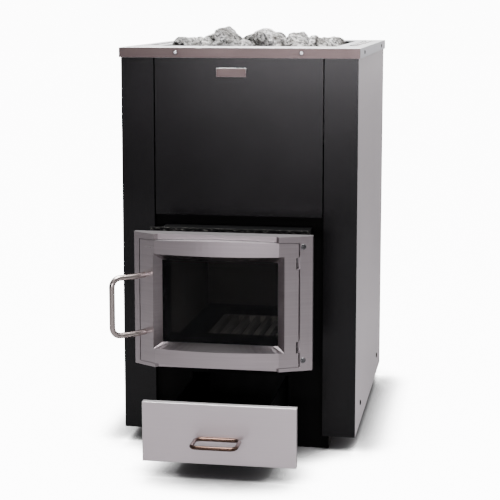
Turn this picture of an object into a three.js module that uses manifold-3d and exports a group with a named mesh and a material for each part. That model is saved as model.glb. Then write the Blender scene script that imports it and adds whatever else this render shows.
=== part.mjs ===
// Wood-burning sauna heater: a steel firebox inside a casing of stainless and black sheet,
// with a heap of stones on top, a glazed door on a protruding neck and an ash drawer.
// Millimetres, X to the right, Y to the back, Z up, with the heater standing on Z = 0.
// The door is shut and the ash drawer is pulled out.
import * as THREE from "three";
import { mergeVertices } from "three/addons/utils/BufferGeometryUtils.js";
import { ConvexGeometry } from "three/addons/geometries/ConvexGeometry.js";
import Module from "manifold-3d";

const wasm = await Module();
wasm.setup();

// Fits
const fit = 0.3; // gap between pieces that touch
const pinClearance = 0.3; // radial gap round hinge pins and screw shanks

// Casing
const casingWidth = 430;
const casingDepth = 565;
const casingLift = 28; // open gap between the floor and the casing
const stoveHeight = 733; // floor to the top of the collar
const casingSheet = 1.5;
const casingReturn = 14; // depth of the folded edges
const cornerWidth = 60; // black strip at each front corner
const panelSeam = 2.5; // open seam beside the upper front panel
const panelClear = 8; // from the door frame's top to the upper front panel

// Blank plate on the upper front panel
const badgeWidth = 54;
const badgeHeight = 16;
const badgeSheet = 1;
const badgeOffset = 12.7; // from the panel's middle, towards the left
const badgeDrop = 44; // from the collar's top to the plate's middle

// Top collar
const collarHeight = 18;
const collarSheet = 2;
const collarOverhang = 3;
const rimSide = 50;
const rimFront = 100;
const rimRear = 95;
const slotWidth = 20;
const slotLength = 52;
const slotGap = 14;
const slotCount = 6;
const slotRear = 40; // from the casing's rear to the last slot

// Screws
const sideScrewInset = 97; // from the front and rear edges of a side panel
const sideScrewRise = 39; // above the lower edge of a side panel
const sideScrewHead = 5;
const sideScrewLength = 5;
const collarScrewHead = 3.4;
const collarScrewLength = 2.6;
const collarScrewSide = 101; // from the casing's side to a screw on the collar's front
const collarScrewFront = 82; // from the casing's front to the first screw on each side
const collarScrewRear = 101; // from the casing's rear to the last screw on each side
const screwDome = 0.45; // height of a screw's head over its radius
const shankShare = 0.45; // radius of a screw's shank over its head's

// Rails that carry the casing
const railHeight = 30;
const railSheet = 3;
const railInset = 62; // from the front and rear of the casing

// Firebox body
const bodyGap = 50; // from the casing's side to the body
const bodyInset = 18; // from the casing's front to the body's front plate
const bodyRearGap = 42;
const stoneSpace = 177; // from the body's top to the collar's top
const plate = 4;
const ledgeWidth = 10;
const ledgeSheet = 6;
const baseHeight = 25;
const baseWidth = 30;
const ashPlate = 3;
const guideHeight = 16;
const guideSheet = 3;
const guidePlay = 3; // between the ash drawer and each guide
const ashGap = 22; // from the ash drawer's box to the firebox floor
const floorPlate = 6;
const baffleDrop = 56; // from the roof to the flame baffle's underside
const bafflePlate = 5;
const baffleGap = 75; // opening ahead of the baffle for the smoke

// Grate
const grateWidth = 190;
const grateLength = 300;
const grateThick = 14;
const grateInset = 45; // from the front plate to the grate
const grateRebate = 6;
const grateSeat = 3; // depth of the rebate in the firebox floor
const grateSlots = 8;
const grateBar = 10;

// Neck between the body and the door frame, with a rope wound round it
const neckInset = 21; // from the door frame's side to the neck
const neckDrop = 11; // from the door frame's top to the neck
const neckRise = 12; // from the door frame's lower edge to the neck
const neckWall = 4;
const ropeSize = 8;
const ropeAhead = 85; // from the casing's front to the middle of the rope

// Smoke channel and flue spigot
const channelWidth = 150;
const channelDrop = 20; // from the collar's top to the channel's top
const channelSheet = 3;
const channelGap = 4; // from the stone container to the channel
const flueRadius = 56;
const flueWall = 4;
const flueReach = 45; // beyond the casing's rear
const flueFlange = 9;
const flueFlangeSheet = 3;
const flueClear = 1; // round the spigot in the rear panel

// Stones
const containerSheet = 2;
const containerInset = 2; // inside the rim's opening
const bedDrop = 21; // from the collar's top to the top of the stone bed
const bedSlope = 14;
const stoneGap = 3;
const stonePoints = 44;
const stoneRows = [
  { depth: 108, stones: [{ width: 66, height: 36 }, { width: 86, height: 58 },
    { width: 84, height: 53 }, { width: 72, height: 40 }] },
  { depth: 118, stones: [{ width: 150, height: 46 }, { width: 164, height: 50 }] },
  { depth: 124, stones: [{ width: 168, height: 40 }, { width: 146, height: 44 }] },
];

// Door frame. Two slanting flanks, with a straight head and sill set back between them. The leaf
// carries on the line of the flanks and bows forward between them in a shallow arc.
const frameBottom = 191;
const frameHeight = 232;
const frameBack = 142; // from the casing's front to the frame's back
const frameEdge = 10; // depth of the frame at its two ends
const frameFlank = 25; // further depth of each slanting flank
const frameBow = 13; // rise of the leaf's arc between the flanks
const frameSetback = 6; // from the ends of the flanks back to the straight head and sill
const flankReturn = 5; // length across of the step between a flank and the head
const flankLeft = 41;
const flankRight = 54;
const arcSteps = 20;
const frameBackPlate = 4;
const frameStileLeft = 10;
const frameStileRight = 20;
const frameSill = 6;
const frameHead = 11.7; // height of the frame above the ends of its opening
const throatMargin = 14; // from the opening to the hole in the frame's back plate
const throatHinge = 22; // the same at the hinge side, where the gasket lies further in

// Door leaf
const leafGapLeft = 1.5;
const leafGapRight = 2.5;
const leafGapHeight = 0.8;
const leafArch = 4.5; // rise of the leaf's top edge
const leafSheet = 3;
const leafGasket = 2.5;
const leafGasketWidth = 10;
const leafGasketInset = 0.5;

// Window in the leaf
const windowLeft = 39.5; // from the leaf's left edge to the clear glass
const windowRight = 35.5;
const windowBelow = 34.5;
const windowAbove = 34.2;
const bevelSide = 13;
const bevelTop = 12.4;
const bevelBottom = 8.6;
const funnelReach = 1.25; // how far the cut for the bevel runs, over the bevel's depth
const glassThick = 4;
const glassLap = 8;
const glassGasket = 3;
const glassGasketWidth = 9;
const glassRail = 2.7;
const glassRailHeight = 20;

// Hinge
const hingeInset = 7.5; // from the leaf's right edge to the hinge axis
const pinRadius = 2.4;
const pinCoverTop = 3; // metal left above the upper pin
const pinCoverBottom = 1.5; // metal left below the lower pin
const pinReach = 30; // length of a pin inside the leaf
const knuckleRadius = 4;
const knuckleLength = 44;
const knuckleGap = 2; // from the leaf's flange to a knuckle
const notchWidth = 4;
const notchHeight = 20;
const notchInset = 24; // from the leaf's upper or lower edge to a notch
const frameScrewHead = 4.8;
const frameScrewLength = 4;
const frameScrewInset = 5.2; // from the frame's opening to a screw
const frameScrewSpread = 98; // from the frame's middle, up and down

// Catch in the frame's left stile
const catchRadius = 2;
const catchLength = 6.5;
const catchPlay = 0.5;
const catchDepth = 5; // from the frame's back plate to the catch's axis

// Door handle
const handleRod = 5;
const handleFoot = 8.5; // from the leaf's left edge to the feet
const handleSpan = 100;
const handleRise = 102; // from the leaf's lower edge to the middle of the grip
const handleStand = 22; // straight stretch at each foot
const handleSide = 45; // from the feet to the grip, towards the left
const handleAhead = 46; // from the feet to the grip, forwards
const handleBend = 17;

// Ash drawer
const drawerInset = 21; // from the recess's side to the drawer's front
const drawerHeight = 105;
const drawerPull = 194; // from the casing's front to the drawer's front
const drawerSheet = 1.5;
const drawerReturn = 12;
const boxInset = 50; // from the side of the drawer's front to its box
const boxDepth = 330;
const boxHeight = 99;
const boxPlay = 6; // round the box in the firebox front
const loopWidth = 84;
const loopDepth = 56;
const loopDrop = 60; // from the top of the drawer's front to the loop
const loopRod = 3.6;
const loopBend = 10;

// Finishes
const stainless = { color: 0xb3adb0, roughness: 0.36, metalness: 0.9 };
const blackPaint = { color: 0x1c1b1d, roughness: 0.42, metalness: 0.15 };
const boilerSteel = { color: 0x151516, roughness: 0.6, metalness: 0.4 };
const castIron = { color: 0x2b2a2a, roughness: 0.75, metalness: 0.5 };
const rodSteel = { color: 0xb59c92, roughness: 0.3, metalness: 0.9 };
const zincSteel = { color: 0xa9aaad, roughness: 0.4, metalness: 0.85 };
const fibre = { color: 0xc4bfb4, roughness: 0.95, metalness: 0 };
const ceramicGlass = { color: 0x0d0d0e, roughness: 0.06, metalness: 0 };
const rock = { color: 0xc6c5c3, roughness: 0.95, metalness: 0 };

// The line of the flanks and of the leaf's bowed face, as a distance ahead of the casing's front
// at each x.
const recessWidth = casingWidth - 2 * cornerWidth;
const frameLeft = -recessWidth / 2;
const frameRight = recessWidth / 2;
const kinkLeft = frameLeft + flankLeft;
const kinkRight = frameRight - flankRight;
const kinkAhead = frameBack + frameEdge + frameFlank;
const slopeLeft = frameFlank / flankLeft;
const slopeRight = frameFlank / flankRight;

function bowAhead(x) {
  if (x < kinkLeft) return kinkAhead - (kinkLeft - x) * slopeLeft;
  if (x > kinkRight) return kinkAhead - (x - kinkRight) * slopeRight;
  const chord = (kinkRight - kinkLeft) / 2;
  const radius = (chord * chord + frameBow * frameBow) / (2 * frameBow);
  const middle = (kinkLeft + kinkRight) / 2;
  return kinkAhead + frameBow - radius + Math.sqrt(radius * radius - (x - middle) ** 2);
}

// Main places. The origin is the middle of the whole heater, on the floor.
const half = casingWidth / 2;
const panelTop = stoveHeight - collarSheet - fit;
const leafLeft = frameLeft + frameStileLeft + leafGapLeft;
const leafRight = frameRight - frameStileRight - leafGapRight;
const footX = leafLeft + handleFoot;
const gripAhead = bowAhead(footX) + handleAhead;
const frontReach = Math.max(drawerPull + fit + loopDepth, gripAhead + handleRod);
const frontY = (frontReach - casingDepth - flueReach) / 2;
const bodyHalf = half - bodyGap;
const bodyFront = -bodyInset;
const bodyRear = bodyRearGap - casingDepth;
const bodyHeight = stoveHeight - stoneSpace;
const roofTop = bodyHeight + fit + plate;
const ashTop = baseHeight + fit + ashPlate;
const drawerBottom = ashTop + fit;
const floorHeight = drawerBottom + boxHeight + ashGap;
const frameTop = frameBottom + frameHeight;
const recessTop = frameTop + panelClear;

// Y of a plane at a distance ahead of the casing's front; a negative distance is behind it.
function ahead(distance) {
  return frontY - distance;
}

// Y range between two distances ahead of the casing's front.
function between(a, b) {
  return [ahead(Math.max(a, b)), ahead(Math.min(a, b))];
}

// A range on both sides of zero.
function across(halfWidth) {
  return [-halfWidth, halfWidth];
}

// A closed geometry as a solid that can be joined and cut.
function solid(geometry) {
  const bare = geometry.index ? geometry.toNonIndexed() : geometry.clone();
  bare.deleteAttribute("normal");
  bare.deleteAttribute("uv");
  const merged = mergeVertices(bare, 1e-4);
  const mesh = new wasm.Mesh({
    numProp: 3,
    vertProperties: new Float32Array(merged.attributes.position.array),
    triVerts: new Uint32Array(merged.index.array),
  });
  return new wasm.Manifold(mesh);
}

function block([x0, x1], [y0, y1], [z0, z1]) {
  const box = new THREE.BoxGeometry(x1 - x0, y1 - y0, z1 - z0);
  return solid(box.translate((x0 + x1) / 2, (y0 + y1) / 2, (z0 + z1) / 2));
}

// An outline in plan, raised from z0 to z1.
function prism(outline, [z0, z1]) {
  const raised = new THREE.ExtrudeGeometry(outline, {
    depth: z1 - z0,
    bevelEnabled: false,
    curveSegments: arcSteps,
  });
  return solid(raised.translate(0, 0, z0));
}

// An outline seen from the front, with its height along Z, drawn through a Y range.
function slab(outline, [y0, y1]) {
  const raised = new THREE.ExtrudeGeometry(outline, {
    depth: y1 - y0,
    bevelEnabled: false,
    curveSegments: arcSteps,
  });
  return solid(raised.rotateX(Math.PI / 2).translate(0, y1, 0));
}

function polygon(corners) {
  return new THREE.Shape(corners.map(([x, y]) => new THREE.Vector2(x, y)));
}

// A round bar between two points.
function bar(from, to, radius, sides = 20) {
  const start = new THREE.Vector3(...from);
  const run = new THREE.Vector3(...to).sub(start);
  const round = new THREE.CylinderGeometry(radius, radius, run.length(), sides);
  const turn = new THREE.Quaternion().setFromUnitVectors(
    new THREE.Vector3(0, 1, 0),
    run.clone().normalize(),
  );
  const middle = start.addScaledVector(run, 0.5);
  return solid(round.applyQuaternion(turn).translate(middle.x, middle.y, middle.z));
}

function join(first, ...others) {
  return others.reduce((whole, other) => whole.add(other), first);
}

function cut(first, ...others) {
  return others.reduce((whole, other) => whole.subtract(other), first);
}

// A straight rod with rounded bends, through a list of corners.
function bentRod(corners, bend, radius, steps) {
  const points = corners.map((corner) => new THREE.Vector3(...corner));
  const path = new THREE.CurvePath();
  let from = points[0];
  for (let i = 1; i < points.length - 1; i += 1) {
    const back = points[i - 1].clone().sub(points[i]).setLength(bend).add(points[i]);
    const on = points[i + 1].clone().sub(points[i]).setLength(bend).add(points[i]);
    path.add(new THREE.LineCurve3(from, back));
    path.add(new THREE.QuadraticBezierCurve3(back, points[i], on));
    from = on;
  }
  path.add(new THREE.LineCurve3(from, points[points.length - 1]));
  const section = new THREE.Shape().absarc(0, 0, radius, 0, 2 * Math.PI);
  const rod = new THREE.ExtrudeGeometry(section, {
    extrudePath: path,
    steps,
    bevelEnabled: false,
    curveSegments: 10,
  });
  return solid(rod);
}

// Collects the finished pieces.
const heater = new THREE.Group();

function add(name, shape, finish) {
  const made = shape.getMesh();
  const geometry = new THREE.BufferGeometry();
  geometry.setAttribute("position", new THREE.BufferAttribute(made.vertProperties, 3));
  geometry.setIndex(new THREE.BufferAttribute(made.triVerts, 1));
  geometry.computeVertexNormals();
  const mesh = new THREE.Mesh(geometry, new THREE.MeshStandardMaterial(finish));
  mesh.name = name;
  heater.add(mesh);
  return mesh;
}

// A domed screw, seated with its head's underside at a point and its shank going inwards.
function addScrew(name, seat, outward, head, length) {
  const shank = head * shankShare;
  const dome = head * screwDome;
  const profile = new THREE.Path();
  profile.moveTo(0, -length);
  profile.lineTo(shank, -length);
  profile.lineTo(shank, 0);
  profile.lineTo(head, 0);
  profile.quadraticCurveTo(head * 0.9, dome, 0, dome);
  const turned = new THREE.LatheGeometry(profile.getPoints(5), 16);
  const mesh = add(name, solid(turned), zincSteel);
  mesh.quaternion.setFromUnitVectors(new THREE.Vector3(0, 1, 0), outward);
  mesh.position.copy(seat).addScaledVector(outward, fit);
}

// The hole that a screw's shank goes through, drawn inwards from its seat.
function screwHole(seat, outward, head, length) {
  const start = seat.clone().addScaledVector(outward, 1);
  const end = seat.clone().addScaledVector(outward, -length - fit);
  return bar(start.toArray(), end.toArray(), head * shankShare + pinClearance, 16);
}

const forward = new THREE.Vector3(0, -1, 0);
const sides = [
  { name: "left", way: -1, out: new THREE.Vector3(-1, 0, 0) },
  { name: "right", way: 1, out: new THREE.Vector3(1, 0, 0) },
];

// An X range on one side of the heater, given by its distances from the middle.
function sideways(way, near, far) {
  return way > 0 ? [near, far] : [-far, -near];
}

// Base frame and ash floor, with a guide on each side of the ash drawer.
const wrapInside = bodyHalf - plate - fit;
const plateBack = bodyFront - plate - fit;
const wrapFront = bodyRear + plate + fit;
const boxHalf = recessWidth / 2 - drawerInset - boxInset;
const base = block(across(wrapInside), between(plateBack, wrapFront), [0, baseHeight]);
const baseHole = block(
  across(wrapInside - baseWidth),
  between(plateBack - baseWidth, wrapFront + baseWidth),
  [-1, baseHeight + 1],
);
add("base_frame", cut(base, baseHole), boilerSteel);

const ashFloor = block(
  across(wrapInside),
  between(plateBack, wrapFront),
  [baseHeight + fit, ashTop],
);
const guides = sides.map(({ way }) => block(
  sideways(way, boxHalf + guidePlay, boxHalf + guidePlay + guideSheet),
  between(plateBack, wrapFront),
  [baseHeight + fit, ashTop + guideHeight],
));
add("ash_floor", join(ashFloor, ...guides), boilerSteel);

// Firebox wrap: two sides and a back in one bent plate, with ledges for the floor and the baffle.
const wrapOuter = block(across(bodyHalf), between(plateBack, bodyRear), [0, bodyHeight]);
const wrapHollow = block(
  across(bodyHalf - plate),
  between(bodyFront, bodyRear + plate),
  [-1, bodyHeight + 1],
);
const baffleBottom = bodyHeight - baffleDrop;
const ledgeTops = [floorHeight - fit, baffleBottom - fit];
const ledges = sides.flatMap(({ way }) => ledgeTops.map((top) => block(
  sideways(way, bodyHalf - plate - ledgeWidth, bodyHalf - plate / 2),
  between(plateBack, wrapFront),
  [top - ledgeSheet, top],
)));
add("inner_wrap", join(cut(wrapOuter, wrapHollow), ...ledges), boilerSteel);

// Firebox front plate, open to the neck and to the ash drawer.
const neckHalf = recessWidth / 2 - neckInset;
const neckLow = frameBottom + neckRise;
const neckHigh = frameTop - neckDrop;
const neckInside = [
  across(neckHalf - neckWall),
  [neckLow + neckWall, neckHigh - neckWall],
];
const throughFront = between(bodyFront + 1, plateBack - 1);
const frontPlate = block(
  across(bodyHalf),
  between(bodyFront, bodyFront - plate),
  [0, bodyHeight],
);
const neckHole = block(neckInside[0], throughFront, neckInside[1]);
const drawerHole = block(
  across(boxHalf + boxPlay),
  throughFront,
  [ashTop, drawerBottom + boxHeight + boxPlay],
);
add("firebox_front", cut(frontPlate, neckHole, drawerHole), boilerSteel);

// Firebox floor with a rebated opening, and the cast grate that lies in it.
const floorTop = floorHeight + floorPlate;
const grateFront = plateBack - grateInset;
const grateRear = grateFront - grateLength;
const fireFloor = block(
  across(wrapInside),
  between(plateBack, wrapFront),
  [floorHeight, floorTop],
);
const grateRest = block(
  across(grateWidth / 2 + fit),
  between(grateFront + fit, grateRear - fit),
  [floorTop - grateSeat, floorTop + 1],
);
const ashHole = block(
  across(grateWidth / 2 - grateRebate),
  between(grateFront - grateRebate, grateRear + grateRebate),
  [floorHeight - 1, floorTop + 1],
);
add("firebox_floor", cut(fireFloor, grateRest, ashHole), boilerSteel);

const grateBottom = floorTop - grateSeat + fit;
const grateRange = [grateBottom, grateBottom + grateThick];
const grateBody = block(across(grateWidth / 2), between(grateFront, grateRear), grateRange);
const gratePitch = (grateWidth - grateBar) / grateSlots;
const grateCuts = Array.from({ length: grateSlots }, (_, i) => {
  const left = -grateWidth / 2 + grateBar + i * gratePitch;
  return block(
    [left, left + gratePitch - grateBar],
    between(grateFront - grateBar, grateRear + grateBar),
    [grateRange[0] - 1, grateRange[1] + 1],
  );
});
add("grate", cut(grateBody, ...grateCuts), castIron);

// Flame baffle on its ledges, and the roof with its smoke hole at the rear.
add("baffle_plate", block(
  across(wrapInside),
  between(plateBack - baffleGap, wrapFront),
  [baffleBottom, baffleBottom + bafflePlate],
), boilerSteel);

const openingHalf = half - rimSide;
const openingFront = -rimFront;
const openingRear = rimRear - casingDepth;
const containerRear = openingRear + containerInset;
const channelFront = containerRear - channelGap;
const channelRear = bodyRear + plate;
const smokeHole = block(
  across(channelWidth / 2 - channelSheet),
  between(channelFront - channelSheet, channelRear + channelSheet),
  [bodyHeight - 1, roofTop + 1],
);
const roof = block(
  across(bodyHalf),
  between(bodyFront, bodyRear),
  [bodyHeight + fit, roofTop],
);
add("firebox_roof", cut(roof, smokeHole), boilerSteel);

// Smoke channel behind the stones, and the spigot for a flue pipe at the rear.
const channelRange = [roofTop + fit, stoveHeight - channelDrop];
const flueHeight = (channelRange[0] + channelRange[1]) / 2;
const channelBox = block(
  across(channelWidth / 2),
  between(channelFront, channelRear),
  channelRange,
);
const channelHollow = block(
  across(channelWidth / 2 - channelSheet),
  between(channelFront - channelSheet, channelRear + channelSheet),
  [channelRange[0] - 1, channelRange[1] - channelSheet],
);
const flueEntry = bar(
  [0, ahead(channelRear) - channelSheet - 1, flueHeight],
  [0, ahead(channelRear) + 1, flueHeight],
  flueRadius - flueWall,
  40,
);
add("smoke_channel", cut(channelBox, channelHollow, flueEntry), boilerSteel);

const flueStart = ahead(channelRear) + fit;
const flueEnd = ahead(-casingDepth - flueReach);
const flueTube = bar([0, flueStart, flueHeight], [0, flueEnd, flueHeight], flueRadius, 40);
const flueRing = bar(
  [0, flueStart, flueHeight],
  [0, flueStart + flueFlangeSheet, flueHeight],
  flueRadius + flueFlange,
  40,
);
const flueBore = bar(
  [0, flueStart - 1, flueHeight],
  [0, flueEnd + 1, flueHeight],
  flueRadius - flueWall,
  40,
);
add("flue_spigot", cut(join(flueTube, flueRing), flueBore), boilerSteel);

// Neck, with a glass fibre rope wound round it.
const neckStart = bodyFront + fit;
const neckEnd = frameBack - fit;
const neckOuter = block(across(neckHalf), between(neckStart, neckEnd), [neckLow, neckHigh]);
const neckHollow = block(neckInside[0], between(neckStart - 1, neckEnd + 1), neckInside[1]);
add("firebox_neck", cut(neckOuter, neckHollow), boilerSteel);

const ropeRange = between(ropeAhead - ropeSize / 2, ropeAhead + ropeSize / 2);
const ropeOuter = block(
  across(neckHalf + fit + ropeSize),
  ropeRange,
  [neckLow - fit - ropeSize, neckHigh + fit + ropeSize],
);
const ropeInner = block(
  across(neckHalf + fit),
  between(ropeAhead - ropeSize, ropeAhead + ropeSize),
  [neckLow - fit, neckHigh + fit],
);
add("neck_rope", cut(ropeOuter, ropeInner), fibre);

// Casing rails: channels between the body and the side panels, which are screwed to them.
const panelInside = half - casingSheet;
const screwRise = casingLift + sideScrewRise;
const sideScrews = [
  { name: "front", at: -sideScrewInset },
  { name: "rear", at: sideScrewInset - casingDepth },
];
const collarScrews = [
  { name: "front", at: -collarScrewFront },
  { name: "rear", at: collarScrewRear - casingDepth },
];
const collarRise = stoveHeight - collarHeight / 2;
const collarHalf = half + collarOverhang;

for (const { name, way, out } of sides) {
  const railLow = screwRise - railHeight / 2;
  const railRange = between(-railInset, railInset - casingDepth);
  const railOuter = block(
    sideways(way, bodyHalf + fit, panelInside - fit),
    railRange,
    [railLow, railLow + railHeight],
  );
  const railHollow = block(
    sideways(way, bodyHalf + fit + railSheet, panelInside - fit - railSheet),
    between(-railInset + 1, railInset - casingDepth - 1),
    [railLow + railSheet, railLow + railHeight + 1],
  );
  const seats = sideScrews.map(({ at }) => new THREE.Vector3(way * half, ahead(at), screwRise));
  const holes = seats.map((seat) => screwHole(seat, out, sideScrewHead, sideScrewLength));
  add(`casing_rail_${name}`, cut(railOuter, railHollow, ...holes), zincSteel);

  // Side panel: one sheet folded at the front, behind the corner strip, and at the rear.
  const flangeFront = -casingSheet - fit;
  const panel = polygon([
    [half, flangeFront],
    [half, -casingDepth],
    [half - casingReturn, -casingDepth],
    [half - casingReturn, casingSheet - casingDepth],
    [panelInside, casingSheet - casingDepth],
    [panelInside, flangeFront - casingSheet],
    [half - casingReturn, flangeFront - casingSheet],
    [half - casingReturn, flangeFront],
  ].map(([x, distance]) => [way * x, ahead(distance)]));
  add(`side_panel_${name}`, cut(prism(panel, [casingLift, panelTop]), ...holes), stainless);
  seats.forEach((seat, i) => {
    addScrew(`side_screw_${name}_${sideScrews[i].name}`, seat, out, sideScrewHead, sideScrewLength);
  });

  // Black corner strip, folded back at the recess.
  const stripInner = recessWidth / 2;
  const strip = polygon([
    [stripInner, 0],
    [half, 0],
    [half, -casingSheet],
    [stripInner + casingSheet, -casingSheet],
    [stripInner + casingSheet, -casingReturn],
    [stripInner, -casingReturn],
  ].map(([x, distance]) => [way * x, ahead(distance)]));
  add(`front_corner_${name}`, prism(strip, [casingLift, panelTop]), blackPaint);

  collarScrews.forEach(({ name: place, at }) => {
    const seat = new THREE.Vector3(way * collarHalf, ahead(at), collarRise);
    addScrew(`collar_screw_${name}_${place}`, seat, out, collarScrewHead, collarScrewLength);
  });
  const frontSeat = new THREE.Vector3(
    way * (half - collarScrewSide),
    ahead(collarOverhang),
    collarRise,
  );
  addScrew(`collar_screw_front_${name}`, frontSeat, forward, collarScrewHead, collarScrewLength);
}

// Rear panel, between the rear folds of the side panels, with a hole for the spigot.
const rearPlane = casingSheet + fit - casingDepth;
const rearSheet = block(
  across(panelInside - fit),
  between(rearPlane, rearPlane + casingSheet),
  [casingLift, panelTop],
);
const rearHole = bar(
  [0, ahead(rearPlane + casingSheet) - 1, flueHeight],
  [0, ahead(rearPlane) + 1, flueHeight],
  flueRadius + flueClear,
  40,
);
add("rear_panel", cut(rearSheet, rearHole), stainless);

// Black upper front panel, folded back at its sides and its lower edge, and its blank plate.
const upperHalf = recessWidth / 2 - panelSeam;
const upperOuter = block(across(upperHalf), between(0, -casingReturn), [recessTop, panelTop]);
const upperHollow = block(
  across(upperHalf - casingSheet),
  between(-casingSheet, -casingReturn - 1),
  [recessTop + casingSheet, panelTop + 1],
);
add("front_upper_panel", cut(upperOuter, upperHollow), blackPaint);

const badgeRise = stoveHeight - badgeDrop;
add("badge_plate", block(
  [-badgeOffset - badgeWidth / 2, -badgeOffset + badgeWidth / 2],
  between(fit, fit + badgeSheet),
  [badgeRise - badgeHeight / 2, badgeRise + badgeHeight / 2],
), stainless);

// Top collar: a band round the panels' tops and a rim with slots, open over the stones.
const collarRange = [stoveHeight - collarHeight, stoveHeight];
const collarOuter = block(
  across(collarHalf),
  between(collarOverhang, -casingDepth - collarOverhang),
  collarRange,
);
const collarInner = block(
  across(collarHalf - collarSheet),
  between(collarOverhang - collarSheet, collarSheet - casingDepth - collarOverhang),
  [collarRange[0] - 1, stoveHeight - collarSheet],
);
const stoneOpening = block(
  across(openingHalf),
  between(openingFront, openingRear),
  [collarRange[0], stoveHeight + 1],
);
const slotMiddle = half - rimSide / 2;
const slots = sides.flatMap(({ way }) => Array.from({ length: slotCount }, (_, i) => {
  const rear = slotRear - casingDepth + i * (slotLength + slotGap);
  return block(
    sideways(way, slotMiddle - slotWidth / 2, slotMiddle + slotWidth / 2),
    between(rear, rear + slotLength),
    [stoveHeight - collarSheet - 1, stoveHeight + 1],
  );
}));
const collarHoles = sides.flatMap(({ way, out }) => [
  ...collarScrews.map(({ at }) => screwHole(
    new THREE.Vector3(way * collarHalf, ahead(at), collarRise),
    out,
    collarScrewHead,
    collarScrewLength,
  )),
  screwHole(
    new THREE.Vector3(way * (half - collarScrewSide), ahead(collarOverhang), collarRise),
    forward,
    collarScrewHead,
    collarScrewLength,
  ),
]);
add("top_collar", cut(collarOuter, collarInner, stoneOpening, ...slots, ...collarHoles), stainless);

// Stone container on the roof, under the rim's opening.
const containerHalf = openingHalf - containerInset;
const containerFront = openingFront - containerInset;
const containerLow = roofTop + fit;
const containerOuter = block(
  across(containerHalf),
  between(containerFront, containerRear),
  [containerLow, panelTop],
);
const containerHollow = block(
  across(containerHalf - containerSheet),
  between(containerFront - containerSheet, containerRear + containerSheet),
  [containerLow + containerSheet, panelTop + 1],
);
add("stone_container", cut(containerOuter, containerHollow), boilerSteel);

// The packed lower stones as one bed, with separate stones lying on it in rows.
const bedHalf = containerHalf - containerSheet - fit;
const bedFront = containerFront - containerSheet - fit;
const bedRear = containerRear + containerSheet + fit;
const bedRise = stoveHeight - bedDrop;
const bedLow = containerLow + containerSheet + fit;

function rectangleCorners(width, front, rear, height) {
  return [-width, width].flatMap((x) => [front, rear].map(
    (distance) => new THREE.Vector3(x, ahead(distance), height),
  ));
}
add("stone_bed", solid(new ConvexGeometry([
  ...rectangleCorners(bedHalf, bedFront, bedRear, bedLow),
  ...rectangleCorners(bedHalf, bedFront, bedRear, bedRise - bedSlope),
  ...rectangleCorners(bedHalf - bedSlope, bedFront - bedSlope, bedRear + bedSlope, bedRise),
])), rock);

// A repeatable value between 0 and 1.
function scatter(seed) {
  const wave = Math.sin(seed * 12.9898) * 43758.5453;
  return wave - Math.floor(wave);
}

// A rough boulder that fills a box and lies on a flat side.
function boulder(width, depth, height, seed) {
  const golden = Math.PI * (3 - Math.sqrt(5));
  const points = Array.from({ length: stonePoints }, (_, i) => {
    const level = 1 - (2 * i + 1) / stonePoints;
    const ring = Math.sqrt(1 - level * level);
    const reach = 0.8 + 0.2 * scatter(seed * 97 + i);
    const angle = golden * i + seed;
    return new THREE.Vector3(
      reach * ring * Math.cos(angle),
      reach * ring * Math.sin(angle),
      Math.max(reach * level, -0.45),
    );
  });
  const frame = new THREE.Box3().setFromPoints(points);
  const size = frame.getSize(new THREE.Vector3());
  const scale = new THREE.Vector3(width, depth, height).divide(size);
  const middle = frame.getCenter(new THREE.Vector3()).setZ(frame.min.z);
  return new ConvexGeometry(points.map((point) => point.sub(middle).multiply(scale)));
}

const rowSpace = bedFront - bedRear - (stoneRows.length + 1) * stoneGap;
const rowTotal = stoneRows.reduce((sum, { depth }) => sum + depth, 0);
let rowFront = bedFront - stoneGap;
let stoneNumber = 0;
for (const { depth, stones } of stoneRows) {
  const rowDepth = (rowSpace * depth) / rowTotal;
  const width = 2 * bedHalf - (stones.length + 1) * stoneGap;
  const total = stones.reduce((sum, stone) => sum + stone.width, 0);
  let left = -bedHalf + stoneGap;
  for (const stone of stones) {
    const stoneWidth = (width * stone.width) / total;
    stoneNumber += 1;
    const shape = boulder(stoneWidth, rowDepth, stone.height, stoneNumber);
    const place = [left + stoneWidth / 2, ahead(rowFront - rowDepth / 2), bedRise + fit];
    add(`stone_${stoneNumber}`, solid(shape.translate(...place)), rock);
    left += stoneWidth + stoneGap;
  }
  rowFront -= rowDepth + stoneGap;
}

// Plan of the bowed leaf between two x, from a flat back to the bowed front.
function bowPlan(x0, x1, back, inset) {
  const arc = Array.from(
    { length: arcSteps + 1 },
    (_, i) => kinkRight + ((kinkLeft - kinkRight) * i) / arcSteps,
  );
  const frontEdge = [x1, ...arc, x0].map((x) => [x, ahead(bowAhead(x) - inset)]);
  return polygon([[x0, ahead(back)], [x1, ahead(back)], ...frontEdge]);
}

// Front outline of the leaf, or of the opening it fills, with its top edge arched.
function archOutline(x0, x1, low, high, rise) {
  const outline = new THREE.Shape();
  outline.moveTo(x0, low);
  outline.lineTo(x1, low);
  outline.lineTo(x1, high);
  outline.quadraticCurveTo((x0 + x1) / 2, high + 2 * rise, x0, high);
  outline.closePath();
  return outline;
}

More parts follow.
